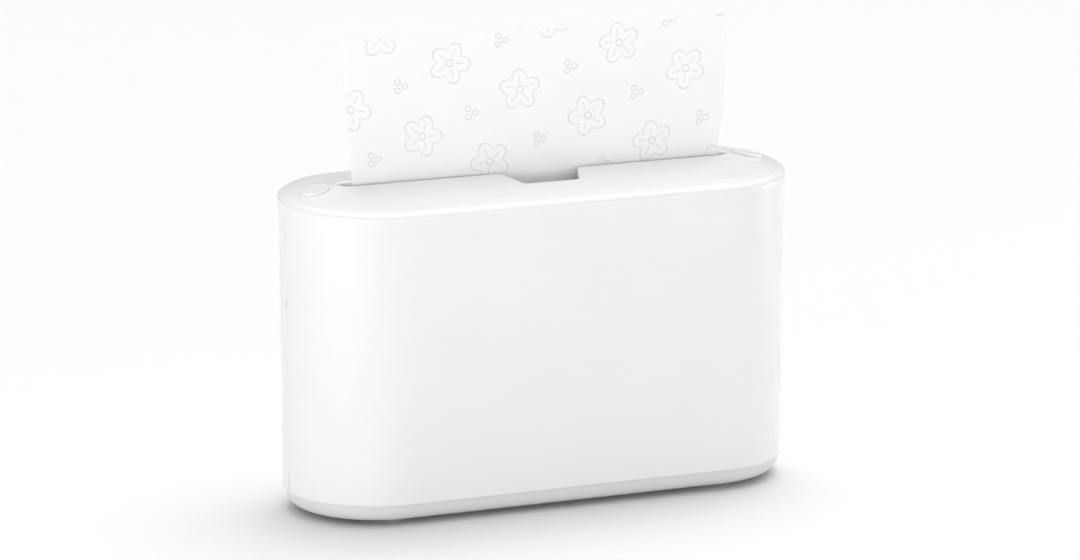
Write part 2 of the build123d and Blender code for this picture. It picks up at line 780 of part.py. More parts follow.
frame_left, frame_right = both_ends(guide_frame())
axle_left, axle_right = both_ends(drum_axle())
tape_left, tape_right = both_ends(spring_tape())
clip_left, clip_right = both_ends(latch_clip())
drum_left, drum_right = both_ends(spring_drum())
coil_left, coil_right = both_ends(spring_coil())
keeper_left, keeper_right = both_ends(latch_keeper())
button_left, button_right = both_ends(button())
sub_parts = {
    "base_tray": base_tray(),
    "rubber_feet": rubber_feet(),
    "front_shell": shell(-1),
    "rear_shell": shell(1),
    "base_screws": base_screws(),
    "guide_frame_left": frame_left,
    "guide_frame_right": frame_right,
    "drum_axle_left": axle_left,
    "drum_axle_right": axle_right,
    "spring_tape_left": tape_left,
    "spring_tape_right": tape_right,
    "latch_clip_left": clip_left,
    "latch_clip_right": clip_right,
    "latch_rivets": list(both_ends(latch_rivet())),
    "spring_drum_left": drum_left,
    "spring_drum_right": drum_right,
    "spring_coil_left": coil_left,
    "spring_coil_right": coil_right,
    "platform": platform(),
    "tape_rivets": list(both_ends(tape_rivet())),
    "towel_stack": towel_stack(),
    "leading_towel": leading_towel(),
    "lid": lid(),
    "latch_keeper_left": keeper_left,
    "latch_keeper_right": keeper_right,
    "keeper_screws": keeper_screws(),
    "left_button": button_left,
    "right_button": button_right,
}
os.makedirs("parts", exist_ok=True)
for name, shape in sub_parts.items():
    pieces = shape if isinstance(shape, list) else [shape]
    solids = [solid for piece in pieces for solid in piece.solids()]
    export_step(Compound(children=solids) if len(solids) > 1 else solids[0], f"parts/{name}.step")
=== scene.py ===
import math
import random

import bpy
from bpy.props import FloatProperty, FloatVectorProperty, IntProperty, PointerProperty
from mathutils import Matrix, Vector


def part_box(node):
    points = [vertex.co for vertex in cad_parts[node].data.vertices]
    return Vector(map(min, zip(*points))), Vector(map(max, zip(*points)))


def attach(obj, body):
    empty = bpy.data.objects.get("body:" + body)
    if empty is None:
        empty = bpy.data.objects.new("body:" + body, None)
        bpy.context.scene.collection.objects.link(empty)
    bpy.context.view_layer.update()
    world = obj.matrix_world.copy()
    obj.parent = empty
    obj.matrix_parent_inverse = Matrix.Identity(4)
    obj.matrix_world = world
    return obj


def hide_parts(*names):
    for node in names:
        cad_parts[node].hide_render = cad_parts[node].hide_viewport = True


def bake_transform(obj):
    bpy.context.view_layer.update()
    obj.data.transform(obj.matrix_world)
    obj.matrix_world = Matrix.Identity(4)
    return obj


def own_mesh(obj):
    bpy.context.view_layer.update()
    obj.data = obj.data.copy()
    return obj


bl_info = {
    "name": "Countertop towel dispenser",
    "version": (1, 0, 0),
    "blender": (4, 5, 0),
    "location": "View3D > Sidebar > Dispenser",
    "description": "Finishes, folded towels and studio for a countertop paper towel dispenser",
    "category": "Add Mesh",
}

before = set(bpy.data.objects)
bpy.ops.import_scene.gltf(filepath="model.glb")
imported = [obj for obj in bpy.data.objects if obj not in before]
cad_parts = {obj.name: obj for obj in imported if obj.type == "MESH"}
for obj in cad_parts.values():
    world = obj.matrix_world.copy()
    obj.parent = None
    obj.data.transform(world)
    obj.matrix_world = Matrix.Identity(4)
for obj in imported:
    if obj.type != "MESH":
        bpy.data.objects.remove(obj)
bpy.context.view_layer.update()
MM = 0.001
SIDES = ("left", "right")


def linear(hex_colour):
    """An sRGB hex colour, such as F4F5F6, as linear RGB."""
    shares = [int(hex_colour[n : n + 2], 16) / 255 for n in (0, 2, 4)]
    return tuple(c / 12.92 if c <= 0.04045 else ((c + 0.055) / 1.055) ** 2.4 for c in shares)


def colour_property(name, hex_colour, description):
    return FloatVectorProperty(
        name=name, description=description, default=linear(hex_colour),
        subtype="COLOR", size=3, min=0.0, max=1.0,
    )


def amount_property(name, amount, description, **kind):
    """A number that is never negative; kind gives its unit, subtype or highest value."""
    return FloatProperty(name=name, description=description, default=amount, min=0.0, **kind)


def length_property(name, metres, description):
    return amount_property(name, metres, description, unit="LENGTH", precision=5)


def angle_property(name, degrees, description):
    return FloatProperty(
        name=name, description=description, default=math.radians(degrees), subtype="ANGLE"
    )


class TowelSettings(bpy.types.PropertyGroup):
    """Sizes of the folded towels."""

    flare: length_property("Flare", 5.7 * MM, "How far each top corner stands out")
    lean: length_property("Lean", 0.8 * MM, "How far the top leans to the right")
    wave: length_property("Wave", 0.8 * MM, "How far the top edge swings forward and back")
    dip: length_property("Dip", 1.0 * MM, "How far the top edge hangs below its corners")
    bulge: length_property("Bulge", 1.5 * MM, "How far the towel bows forward above the slot")
    bend: length_property("Bend", 14.0 * MM, "How far it curves rearwards down to the stack")
    laid: length_property("Laid part", 26.0 * MM, "How far it lies rearwards on the stack")
    turned: length_property("Turned part", 70.0 * MM, "How much of it is folded back under")
    fold_gap: length_property("Fold gap", 0.3 * MM, "Between the towel's own layers")
    motif_pitch: length_property("Motif pitch", 47.0 * MM, "From one printed blossom to the next")
    motif_radius: length_property("Motif radius", 12.5 * MM, "Size of a printed blossom")
    line_width: length_property("Line width", 0.75 * MM, "Width of a printed line")
    layer: length_property("Layer", 0.7 * MM, "One folded towel in the stack")
    columns: IntProperty(name="Columns", description="Faces across the towel", default=100, min=8)


class ClipSettings(bpy.types.PropertyGroup):
    """Sizes of the latch clips."""

    thickness: length_property("Thickness", 0.6 * MM, "Strip that the clips are bent from")
    reach: length_property("Reach", 4.9 * MM, "From the leg out to the tip of the nose")
    run: length_property("Run", 4.2 * MM, "How far back the ramp comes")
    rise: length_property("Rise", 5.0 * MM, "How far up the ramp goes")
    turn: length_property("Bend radius", 0.55 * MM, "To the middle of the strip")
    pressed: amount_property(
        "Pressed", 0.49, "Share of the reach left when the button is pressed",
        max=1.0, subtype="FACTOR",
    )


class FinishSettings(bpy.types.PropertyGroup):
    """Colours of the finishes."""

    shell: colour_property("Shell", "E9E9E9", "Gloss white casing and lid")
    base: colour_property("Base", "D9D9D9", "Light grey base")
    inner: colour_property("Inner parts", "E4E4E1", "Platform, guide frames and keepers")
    drum: colour_property("Drums", "E9E4D6", "Acetal drums")
    steel: colour_property("Spring steel", "B4B2AC", "Strips and clips")
    zinc: colour_property("Zinc plate", "C3C6CB", "Screws, rivets and axles")
    rubber: colour_property("Feet", "8E9092", "Rubber feet")
    paper: colour_property("Paper", "F2F2F1", "Tissue")
    print: colour_property("Print", "D3D2DE", "Printed lines")
    floor: colour_property("Floor", "EEEEEE", "Studio paper under the dispenser")


class StudioSettings(bpy.types.PropertyGroup):
    """Camera and lights."""

    azimuth: angle_property("Azimuth", -23.293, "Camera, from the front")
    elevation: angle_property("Elevation", 12.576, "Camera, above the level")
    distance: length_property("Distance", 3.33192, "Camera to the point it looks at")
    lens: FloatProperty(
        name="Lens", description="Focal length for a 36 mm frame", default=183.57,
        subtype="DISTANCE_CAMERA",
    )
    sky: amount_property("Sky", 0.38, "Light from all round")
    top: amount_property("Top", 4.3, "Wide light overhead")
    front: amount_property("Front", 4.0, "Wide low light in front")
    key: amount_property("Key", 5.0, "Softbox at the left", unit="POWER")
    fill: amount_property("Fill", 3.0, "Softbox at the right", unit="POWER")


SETTINGS = {
    "towels": TowelSettings,
    "clips": ClipSettings,
    "finishes": FinishSettings,
    "studio": StudioSettings,
}


def fill(node, inputs):
    """Sets a node's inputs: each to a value, or linked from a socket or a node's first output."""
    for key, value in inputs.items():
        if isinstance(value, bpy.types.Node):
            value = next(socket for socket in value.outputs if socket.enabled)
        if isinstance(value, bpy.types.NodeSocket):
            node.id_data.links.new(value, node.inputs[key])
        else:
            node.inputs[key].default_value = value


def add(tree, kind, inputs=None, **settings):
    """Adds a node with its settings and links."""
    node = tree.nodes.new(kind)
    for name, value in settings.items():
        setattr(node, name, value)
    fill(node, inputs or {})
    return node


def per_metre(millimetres):
    """Texture scale that gives a pattern of that size."""
    return 1000.0 / millimetres


def new_material(name, coordinates="Object"):
    """A material with one shader, its node tree, and where a point is on the piece."""
    material = bpy.data.materials.new(name)
    material.use_nodes = True
    tree = material.node_tree
    tree.nodes.clear()
    surface = add(tree, "ShaderNodeBsdfPrincipled")
    add(tree, "ShaderNodeOutputMaterial", {"Surface": surface})
    place = add(tree, "ShaderNodeTexCoord").outputs[coordinates]
    return material, surface, tree, place


def varied(tree, place, size_mm, low, high):
    """A value that drifts from low to high over patches of that size."""
    noise = add(
        tree, "ShaderNodeTexNoise", {"Vector": place, "Scale": per_metre(size_mm), "Detail": 2.0}
    )
    return add(
        tree, "ShaderNodeMapRange",
        {"Value": noise, "From Min": 0.3, "From Max": 0.7, "To Min": low, "To Max": high},
    )


def tinted(tree, colour, place, size_mm, depth):
    """A colour that drifts a little darker over patches of that size."""
    darker = [c * (1 - depth) for c in colour]
    return add(
        tree, "ShaderNodeMix",
        {"Factor": varied(tree, place, size_mm, 0.0, 1.0), "A": (*colour, 1.0), "B": (*darker, 1.0)},
        data_type="RGBA",
    )


def moulded_plastic(name, colour, ior, roughness, waves_mm, grain_mm, grain_depth_mm):
    """Injection-moulded plastic: long faint waves from flow, and the tool's finer grain."""
    material, surface, tree, place = new_material(name)
    waves = add(
        tree, "ShaderNodeTexNoise", {"Vector": place, "Scale": per_metre(waves_mm), "Detail": 1.0}
    )
    grain = add(
        tree, "ShaderNodeTexNoise", {"Vector": place, "Scale": per_metre(grain_mm), "Detail": 2.0}
    )
    waved = add(
        tree, "ShaderNodeBump", {"Height": waves, "Strength": 0.25, "Distance": 0.01 * MM}
    )
    grained = add(
        tree, "ShaderNodeBump",
        {"Height": grain, "Strength": 0.5, "Distance": grain_depth_mm * MM, "Normal": waved},
    )
    fill(surface, {
        "IOR": ior,
        "Base Color": tinted(tree, colour, place, size_mm=45.0, depth=0.012),
        "Roughness": varied(tree, place, 18.0, roughness * 0.85, roughness * 1.15),
        "Normal": grained,
    })
    return material


def shell_plastic(finishes):
    """Gloss white ABS from a polished tool: sharp highlights, hardly any grain."""
    return moulded_plastic(
        "abs_white_gloss_moulded", finishes.shell, ior=1.53, roughness=0.2,
        waves_mm=6.0, grain_mm=0.5, grain_depth_mm=0.002,
    )


def base_plastic(finishes):
    """Light grey ABS from a spark-eroded tool: even grain that dulls the highlights.

    The grain is drawn several times as coarse as the real one, so that it shows.
    """
    return moulded_plastic(
        "abs_grey_satin_moulded", finishes.base, ior=1.53, roughness=0.4,
        waves_mm=6.0, grain_mm=0.7, grain_depth_mm=0.02,
    )


def button_plastic(finishes):
    """The casing's white ABS on the buttons, with the light grain that fingers need."""
    return moulded_plastic(
        "abs_white_button_moulded", finishes.shell, ior=1.53, roughness=0.26,
        waves_mm=3.0, grain_mm=0.5, grain_depth_mm=0.004,
    )


def inner_plastic(finishes):
    """Polypropylene for the inner parts: milky and waxy."""
    material = moulded_plastic(
        "polypropylene_natural_moulded", finishes.inner, ior=1.49, roughness=0.45,
        waves_mm=4.0, grain_mm=0.6, grain_depth_mm=0.01,
    )
    surface = material.node_tree.nodes["Principled BSDF"]
    fill(surface, {"Subsurface Weight": 0.15, "Subsurface Scale": 1.5 * MM})
    return material


def drum_plastic(finishes):
    """Acetal for the drums: creamy, slippery, close-grained."""
    return moulded_plastic(
        "acetal_cream_moulded", finishes.drum, ior=1.48, roughness=0.32,
        waves_mm=2.5, grain_mm=0.4, grain_depth_mm=0.004,
    )


def foot_rubber(finishes):
    """Thermoplastic rubber for the feet: matt, with a fine pebbled skin."""
    return moulded_plastic(
        "rubber_grey_moulded", finishes.rubber, ior=1.5, roughness=0.75,
        waves_mm=2.0, grain_mm=0.45, grain_depth_mm=0.06,
    )


def rolled_steel(finishes):
    """Cold-rolled stainless spring strip: fine scratches run along it.

    They are drawn a quarter of a millimetre apart, coarser than real ones, so that they show.
    """
    material, surface, tree, place = new_material("stainless_strip_rolled")
    stretched = add(tree, "ShaderNodeMapping", {"Vector": place, "Scale": (1.0, 1.0, 0.02)})
    fill(surface, {
        "Metallic": 1.0,
        "Base Color": (*finishes.steel, 1.0),
        "Roughness": varied(tree, stretched, size_mm=0.25, low=0.2, high=0.42),
    })
    return material


def zinc_steel(finishes):
    """Bright zinc plate on steel screws, rivets and axles: cool, faintly mottled."""
    material, surface, tree, place = new_material("steel_zinc_plated")
    fill(surface, {
        "Metallic": 1.0,
        "Base Color": tinted(tree, finishes.zinc, place, size_mm=0.8, depth=0.18),
        "Roughness": varied(tree, place, size_mm=0.6, low=0.25, high=0.45),
    })
    return material


def paper_bump(tree, place):
    """Rows of embossed dots 2.4 mm apart, over fibres.

    The fibres are drawn 0.9 mm long, coarser than real ones, so that they show.
    """
    dots = add(
        tree, "ShaderNodeTexVoronoi", {"Vector": place, "Scale": per_metre(2.4), "Randomness": 0.0}
    )
    dimple = add(
        tree, "ShaderNodeMapRange",
        {"Value": dots, "From Min": 0.12, "From Max": 0.3, "To Min": 0.0, "To Max": 1.0},
        interpolation_type="SMOOTHSTEP",
    )
    fibres = add(
        tree, "ShaderNodeTexNoise", {"Vector": place, "Scale": per_metre(0.9), "Detail": 4.0}
    )
    soft = add(
        tree, "ShaderNodeBump", {"Height": fibres, "Strength": 0.35, "Distance": 0.12 * MM}
    )
    return add(
        tree, "ShaderNodeBump",
        {"Height": dimple, "Strength": 0.4, "Distance": 0.1 * MM, "Normal": soft},
    )


def paper(name, finishes):
    """Two-ply tissue: soft, dry fibre with rows of embossed dots."""
    material, surface, tree, place = new_material(name, "UV")
    ground = tinted(tree, finishes.paper, place, size_mm=30.0, depth=0.015)
    fill(surface, {
        "Base Color": ground,
        "Normal": paper_bump(tree, place),
        "Roughness": 0.95,
        "Specular IOR Level": 0.2,
        "Sheen Weight": 0.15,
        "Sheen Roughness": 0.5,
    })
    return material, surface, tree, place, ground


def tissue(finishes):
    """Plain tissue for the stack."""
    return paper("tissue_white_embossed", finishes)[0]


def printed_tissue(finishes, towels, printed_above):
    """The same tissue with a light print of outlined blossoms between little rings."""
    material, surface, tree, place, ground = paper("tissue_white_printed", finishes)
    split = add(tree, "ShaderNodeSeparateXYZ", {"Vector": place})
    printed = add(
        tree, "ShaderNodeMath", {0: split.outputs["Y"], 1: printed_above}, operation="GREATER_THAN"
    )
    lines = add(
        tree, "ShaderNodeMath", {0: blossom_lines(tree, place, towels), 1: printed},
        operation="MULTIPLY",
    )
    wear = varied(tree, place, size_mm=1.2, low=0.65, high=1.0)
    share = add(tree, "ShaderNodeMath", {0: lines, 1: wear}, operation="MULTIPLY")
    mix = add(
        tree, "ShaderNodeMix", {"Factor": share, "A": ground, "B": (*finishes.print, 1.0)},
        data_type="RGBA",
    )
    fill(surface, {"Base Color": mix})
    return material


def cell_place(tree, place, pitch, shift):
    """Where a point is inside its cell of a turned square grid, and which cell that is."""
    grid_turn = math.radians(24.0)
    turned = add(
        tree, "ShaderNodeMapping",
        {
            "Vector": place, "Location": (shift[0] / pitch, shift[1] / pitch, 0.0),
            "Rotation": (0.0, 0.0, grid_turn), "Scale": (1 / pitch,) * 3,
        },
    )
    cell = add(tree, "ShaderNodeVectorMath", {0: turned}, operation="FLOOR")
    inside = add(tree, "ShaderNodeVectorMath", {0: turned}, operation="FRACTION")
    centred = add(
        tree, "ShaderNodeVectorMath", {0: inside, 1: (0.5, 0.5, 0.0)}, operation="SUBTRACT"
    )
    metres = add(
        tree, "ShaderNodeVectorMath", {0: centred, "Scale": pitch}, operation="SCALE"
    )
    return metres, cell


def line_where(tree, distance, edge, width):
    """1 on a line of that width where the distance is the edge's, fading at its sides."""
    past = add(tree, "ShaderNodeMath", {0: distance, 1: edge}, operation="SUBTRACT")
    away = add(tree, "ShaderNodeMath", {0: past}, operation="ABSOLUTE")
    return add(
        tree, "ShaderNodeMapRange",
        {
            "Value": away, "From Min": width * 0.35, "From Max": width * 0.65,
            "To Min": 1.0, "To Max": 0.0,
        },
        interpolation_type="SMOOTHSTEP",
    )


def overlaid(tree, lines):
    """The lines drawn over each other."""
    drawn = lines[0]
    for line in lines[1:]:
        drawn = add(tree, "ShaderNodeMath", {0: drawn, 1: line}, operation="MAXIMUM")
    return drawn


def petal_veins(tree, radius, petal_turn, towels):
    """A short line down the middle of each petal."""
    start, end = 0.3 * towels.motif_radius, 0.72 * towels.motif_radius
    sine = add(tree, "ShaderNodeMath", {0: petal_turn}, operation="SINE")
    beside = add(tree, "ShaderNodeMath", {0: sine, 1: radius}, operation="MULTIPLY")
    vein = line_where(tree, beside, 0.0, 1.6 * towels.line_width)
    for limit, operation in ((start, "GREATER_THAN"), (end, "LESS_THAN")):
        kept = add(tree, "ShaderNodeMath", {0: radius, 1: limit}, operation=operation)
        vein = add(tree, "ShaderNodeMath", {0: vein, 1: kept}, operation="MULTIPLY")
    return vein


def blossoms(tree, place, shift, towels):
    """Outlined blossoms, each turned by chance, with a ring at the heart and a vein in each petal."""
    petals = 5
    crease, tip, heart = [share * towels.motif_radius for share in (0.6, 1.0, 0.17)]
    metres, cell = cell_place(tree, place, towels.motif_pitch, shift)
    split = add(tree, "ShaderNodeSeparateXYZ", {"Vector": metres})
    radius = add(tree, "ShaderNodeVectorMath", {0: metres}, operation="LENGTH")
    chance = add(tree, "ShaderNodeTexWhiteNoise", {"Vector": cell})
    heading = add(
        tree, "ShaderNodeMath", {0: split.outputs["Y"], 1: split.outputs["X"]}, operation="ARCTAN2"
    )
    angle = add(
        tree, "ShaderNodeMath", {0: chance, 1: 2 * math.pi / petals, 2: heading},
        operation="MULTIPLY_ADD",
    )
    petal_turn = add(tree, "ShaderNodeMath", {0: angle, 1: petals / 2}, operation="MULTIPLY")
    cosine = add(tree, "ShaderNodeMath", {0: petal_turn}, operation="COSINE")
    lobe = add(tree, "ShaderNodeMath", {0: cosine}, operation="ABSOLUTE")
    reach = add(
        tree, "ShaderNodeMath", {0: lobe, 1: tip - crease, 2: crease}, operation="MULTIPLY_ADD"
    )
    return [
        line_where(tree, radius, reach, towels.line_width),
        line_where(tree, radius, heart, towels.line_width),
        petal_veins(tree, radius, petal_turn, towels),
    ]


def little_rings(tree, place, shift, towels):
    """Three rings, one at each corner of a small triangle."""
    count, first_turn, out, size = 3, 0.4, 2.9 * MM, 1.7 * MM
    metres, _ = cell_place(tree, place, towels.motif_pitch, shift)
    rings = []
    for n in range(count):
        turn = 2 * math.pi * n / count + first_turn
        middle = (out * math.cos(turn), out * math.sin(turn), 0.0)
        away = add(tree, "ShaderNodeVectorMath", {0: metres, 1: middle}, operation="DISTANCE")
        rings.append(line_where(tree, away, size, 0.9 * towels.line_width))
    return rings


def blossom_lines(tree, place, towels):
    """The print: blossoms on a turned grid, and three rings in the middle between them."""
    x, y, half = 9 * MM, 14 * MM, towels.motif_pitch / 2
    lines = blossoms(tree, place, (x, y), towels)
    lines += little_rings(tree, place, (x + half, y + half), towels)
    return overlaid(tree, lines)


def floor_paint(finishes):
    """Matt white studio paper."""
    material, surface, tree, place = new_material("paper_white_matt")
    fill(surface, {
        "Base Color": tinted(tree, finishes.floor, place, size_mm=400.0, depth=0.004),
        "Roughness": 0.9,
        "Specular IOR Level": 0.1,
    })
    return material


def dress(names, material, bevel=0.0):
    """Gives carried-over CAD nodes a finish, and with bevel a small round on their sharp edges."""
    for name in names:
        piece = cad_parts[name]
        piece.data.materials.clear()
        piece.data.materials.append(material)
        if bevel:
            edges = piece.modifiers.new("edge_round", "BEVEL")
            edges.width = bevel
            edges.segments = 2
            edges.limit_method = "ANGLE"
            edges.angle_limit = math.radians(35)
            edges.harden_normals = True


def new_piece(name, vertices, faces, material, smooth=True):
    mesh = bpy.data.meshes.new(name)
    mesh.from_pydata(vertices, [], faces)
    mesh.validate()
    for face in mesh.polygons:
        face.use_smooth = smooth
    piece = bpy.data.objects.new(name, mesh)
    bpy.context.scene.collection.objects.link(piece)
    mesh.materials.append(material)
    return piece


def lay_flat(piece, flat):
    """Gives a piece of paper its places on the flat sheet, one for each vertex."""
    layer = piece.data.uv_layers.new(name="flat_towel")
    for loop in piece.data.loops:
        layer.data[loop.index].uv = flat[loop.vertex_index]


def grid_faces(rows, columns):
    """Faces of a grid of points given row by row."""
    return [
        (r * columns + c, r * columns + c + 1, (r + 1) * columns + c + 1, (r + 1) * columns + c)
        for r in range(rows - 1)
        for c in range(columns - 1)
    ]


def rounded(corners, radius, steps=5):
    """A line in the XZ plane through those corners, each turned with that radius."""
    line = [corners[0]]
    for before, corner, after in zip(corners, corners[1:], corners[2:]):
        corner = Vector(corner)
        back = (Vector(before) - corner).normalized()
        ahead = (Vector(after) - corner).normalized()
        half = back.angle(ahead) / 2
        reach = radius / math.tan(half)
        middle = corner + (back + ahead).normalized() * radius / math.sin(half)
        start, end = corner + back * reach - middle, corner + ahead * reach - middle
        for n in range(steps + 1):
            line.append(tuple(middle + start.slerp(end, n / steps).normalized() * radius))
    return line + [corners[-1]]


def band(line, half_width, thickness, cup=0.0):
    """A closed strip of metal that runs along a line in the XZ plane, Y being its width.

    Cup is how far its edges stand back from its middle.
    """
    columns = 7
    end_width = 0.92
    rows = len(line)
    vertices = []
    for depth in (-0.5, 0.5):
        for n, (x, z) in enumerate(line):
            (x0, z0), (x1, z1) = line[max(n - 1, 0)], line[min(n + 1, rows - 1)]
            run = math.hypot(x1 - x0, z1 - z0)
            nx, nz = (z1 - z0) / run, (x0 - x1) / run
            half = half_width * (1.0 if 0 < n < rows - 1 else end_width)
            for c in range(columns):
                share = 2 * c / (columns - 1) - 1
                off = depth * thickness - cup * share * share
                vertices.append((x + nx * off, half * share, z + nz * off))
    sheet = rows * columns
    front = grid_faces(rows, columns)
    faces = [f[::-1] for f in front] + [tuple(v + sheet for v in f) for f in front]
    edge = list(range(columns))
    edge += [r * columns + columns - 1 for r in range(1, rows)]
    edge += [(rows - 1) * columns + c for c in range(columns - 2, -1, -1)]
    edge += [r * columns for r in range(rows - 2, 0, -1)]
    faces += [(a, b, b + sheet, a + sheet) for a, b in zip(edge, edge[1:] + edge[:1])]
    return vertices, faces


SCREW_SIDES = 32
SCREW_TURNS = [2 * math.pi * n / SCREW_SIDES for n in range(SCREW_SIDES)]


def screw_head(radius, height):
    """Rings from the middle of a low dome out to its rim, with a cross recess, face down."""
    count = 14
    arm_half, wall_run, arm_reach = 0.2 * radius, 0.06 * radius, 0.62 * radius
    dome, recess = 0.45 * height, 0.75 * height
    rings = []
    for n in range(1, count + 1):
        out = n / count
        ring = []
        for turn in SCREW_TURNS:
            x, y = radius * out * math.cos(turn), radius * out * math.sin(turn)
            arm, reach = min(abs(x), abs(y)), max(abs(x), abs(y))
            inside = max(0.0, min(1.0, (arm_half - arm) / wall_run))
            depth = max(0.0, recess * (1 - (reach / arm_reach) ** 2))
            ring.append((x, y, dome * out**4 + inside * depth))
        rings.append(ring)
    rings.append([(radius * math.cos(turn), radius * math.sin(turn), height) for turn in SCREW_TURNS])
    return rings


def screw_shaft(radius, length, start_z):
    """Rings up a threaded shaft to its point."""
    pitch, steps_per_turn = 1.25 * MM, 6
    root, ridge_half = 0.72 * radius, 0.28
    tip, point_length = 0.3, 1.4 * radius
    steps = round(length / pitch * steps_per_turn)
    rings = []
    for n in range(steps + 1):
        along = length * n / steps
        point = min(1.0, tip + (1 - tip) * (length - along) / point_length)
        ring = []
        for turn in SCREW_TURNS:
            phase = (along / pitch + turn / (2 * math.pi)) % 1.0
            ridge = max(0.0, 1 - abs(phase - 0.5) / ridge_half) if 0 < n < steps else 0.0
            r = (root + (radius - root) * ridge) * point
            ring.append((r * math.cos(turn), r * math.sin(turn), start_z + along))
        rings.append(ring)
    return rings


def screws_piece(name, node, body, head_radius, head_height, shaft_radius, material):
    """One cross-recessed screw, driven upwards, at each corner of the box of that node."""
    low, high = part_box(node)
    rings = screw_head(head_radius, head_height)
    rings += screw_shaft(shaft_radius, high.z - low.z - head_height, head_height)
    vertices, faces = [], []
    for x in (low.x + head_radius, high.x - head_radius):
        for y in (low.y + head_radius, high.y - head_radius):
            first = len(vertices)
            vertices += [(x + vx, y + vy, low.z + vz) for ring in rings for vx, vy, vz in ring]
            for r in range(len(rings) - 1):
                here = first + r * SCREW_SIDES
                ahead = here + SCREW_SIDES
                for a in range(SCREW_SIDES):
                    b = (a + 1) % SCREW_SIDES
                    faces.append((here + b, here + a, ahead + a, ahead + b))
            last = len(vertices) - SCREW_SIDES
            faces.append(tuple(range(first + SCREW_SIDES - 1, first - 1, -1)))
            faces.append(tuple(range(last, last + SCREW_SIDES)))
    piece = new_piece(name, vertices, faces, material)
    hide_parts(node)
    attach(piece, body)


class DISPENSER_OT_casing(bpy.types.Operator):
    """Finish the two shells and the base"""

    bl_idname = "dispenser.casing"
    bl_label = "Casing"

    def execute(self, context):
        finishes = context.scene.finishes
        dress(["front_shell", "rear_shell"], shell_plastic(finishes))
        dress(["base_tray"], base_plastic(finishes))
        return {"FINISHED"}


class DISPENSER_OT_lid(bpy.types.Operator):
    """Finish the lid"""

    bl_idname = "dispenser.lid"
    bl_label = "Lid"

    def execute(self, context):
        dress(["lid"], shell_plastic(context.scene.finishes))
        return {"FINISHED"}


class DISPENSER_OT_buttons(bpy.types.Operator):
    """Finish the two buttons"""

    bl_idname = "dispenser.buttons"
    bl_label = "Buttons"

    def execute(self, context):
        dress(["left_button", "right_button"], button_plastic(context.scene.finishes))
        return {"FINISHED"}


def stack_section(low, high, count, chance):
    """The stack's outline, as (y, z): the towels' rounded folds up the back, then down the front."""
    step = (high.z - low.z) / count
    least_in, most_in = 0.1 * MM, 1.2 * MM
    fold_edge, fold_drop = 0.06, 0.35 * step
    section = []
    for side, order in ((1, range(count)), (-1, range(count - 1, -1, -1))):
        shares = (fold_edge, 0.5, 1 - fold_edge)[::side]
        for n in order:
            out = high.y - chance.uniform(least_in, most_in)
            z = low.z + n * step
            for share, drop in zip(shares, (fold_drop, 0.0, fold_drop)):
                section.append((side * (out - drop), z + share * step))
    return section


def stack_vertices(section, xs, high, chance):
    """The outline drawn out along the stack, drifting and swaying a little, inside its box."""
    sway, most_drift = 0.3 * MM, 0.25 * MM
    along_turn, up_turn = 31, 190  # radians of sway per metre
    vertices = []
    for y, z in section:
        drift = chance.uniform(-most_drift, most_drift)
        for x in xs:
            moved = y + sway * math.sin(x * along_turn + z * up_turn) + drift * x / high.x
            vertices.append((x, max(-high.y, min(high.y, moved)), z))
    return vertices


def stack_faces(rows, columns):
    """The sides, the underside, and the two ends, each closed from back to front."""
    faces = grid_faces(rows, columns)
    last = (rows - 1) * columns
    faces += [(last + c, last + c + 1, c + 1, c) for c in range(columns - 1)]
    for end, order in ((0, 1), (columns - 1, -1)):
        for r in range(rows // 2 - 1):
            quad = (r, r + 1, rows - 2 - r, rows - 1 - r)
            faces.append(tuple(row * columns + end for row in quad)[::order])
    return faces


class DISPENSER_OT_towel_stack(bpy.types.Operator):
    """Make the stack of interfolded towels"""

    bl_idname = "dispenser.towel_stack"
    bl_label = "Towel stack"

    def execute(self, context):
        low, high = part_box("towel_stack")
        count = round((high.z - low.z) / context.scene.towels.layer)
        chance = random.Random(7)
        columns = 13
        xs = [low.x + (high.x - low.x) * c / (columns - 1) for c in range(columns)]
        section = stack_section(low, high, count, chance)
        vertices = stack_vertices(section, xs, high, chance)
        piece = new_piece(
            "towel_stack_folds", vertices, stack_faces(len(section), columns),
            tissue(context.scene.finishes), smooth=False,
        )
        lay_flat(piece, [(x, y + z) for x, y, z in vertices])
        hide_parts("towel_stack")
        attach(piece, "base")
        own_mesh(piece)
        return {"FINISHED"}


def curve_point(corners, share):
    """A point of the cubic Bezier curve with those four corners."""
    left = 1 - share
    weights = (left**3, 3 * left**2 * share, 3 * left * share**2, share**3)
    return tuple(sum(w * c[k] for w, c in zip(weights, corners)) for k in (0, 1))


def bow(towels, rise):
    """How far forward the standing towel bows, at that share of its height."""
    middle, spread = 0.3, 0.16
    return towels.bulge * math.exp(-(((rise - middle) / spread) ** 2))


